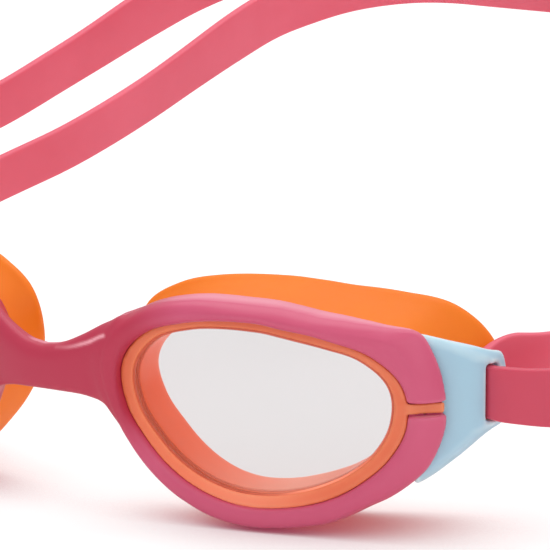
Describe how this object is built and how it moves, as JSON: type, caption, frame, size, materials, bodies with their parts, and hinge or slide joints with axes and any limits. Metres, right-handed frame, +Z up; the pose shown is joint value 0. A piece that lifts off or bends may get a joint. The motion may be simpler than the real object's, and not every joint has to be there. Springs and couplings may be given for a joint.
{
  "type": "swim goggles",
  "caption": "Swim goggles with a one-piece front frame, clear flat lenses in raised rings, soft face seals, strap end pieces and a looped head strap with a rear buckle.",
  "frame": {"origin": "on the level of the frame's lowest edge, in the plane of symmetry of the frame, at the middle of the overall depth from nose bridge to rear buckle", "axes": "+X to the wearer's left, +Y from the front of the goggles to the back of the head, +Z up"},
  "size_m": [0.2004, 0.1787, 0.0772],
  "materials": {
    "frame_pink": "semi-gloss moulded soft plastic",
    "carrier_coral": "semi-gloss, slightly translucent",
    "lens_clear": "clear polished polycarbonate",
    "seal_orange": "satin translucent silicone",
    "end_piece_blue": "satin moulded plastic",
    "strap_pink": "satin silicone"
  },
  "bodies": {
    "goggles": {"front_frame": "frame_pink", "carrier_left": "carrier_coral", "lens_left": "lens_clear", "seal_left": "seal_orange", "carrier_right": "carrier_coral", "lens_right": "lens_clear", "seal_right": "seal_orange", "end_piece_left": "end_piece_blue", "end_piece_right": "end_piece_blue", "strap_loop_left": "strap_pink", "strap_loop_right": "strap_pink"},
    "strap": {"strap_band": "strap_pink", "strap_tail_left": "strap_pink", "strap_tail_right": "strap_pink"},
    "buckle": {"rear_buckle": "end_piece_blue"}
  },
  "joints": [
    {"name": "strap_lift", "type": "hinge", "parent": "goggles", "child": "strap", "pos_m": [0, -0.03935, 0.0252], "axis": [1, 0, 0], "range_deg": [-28, 40]},
    {"name": "buckle_slide", "type": "slide", "parent": "strap", "child": "buckle", "axis": [1, 0, 0], "range_m": [-0.026, 0.002]}
  ]
}
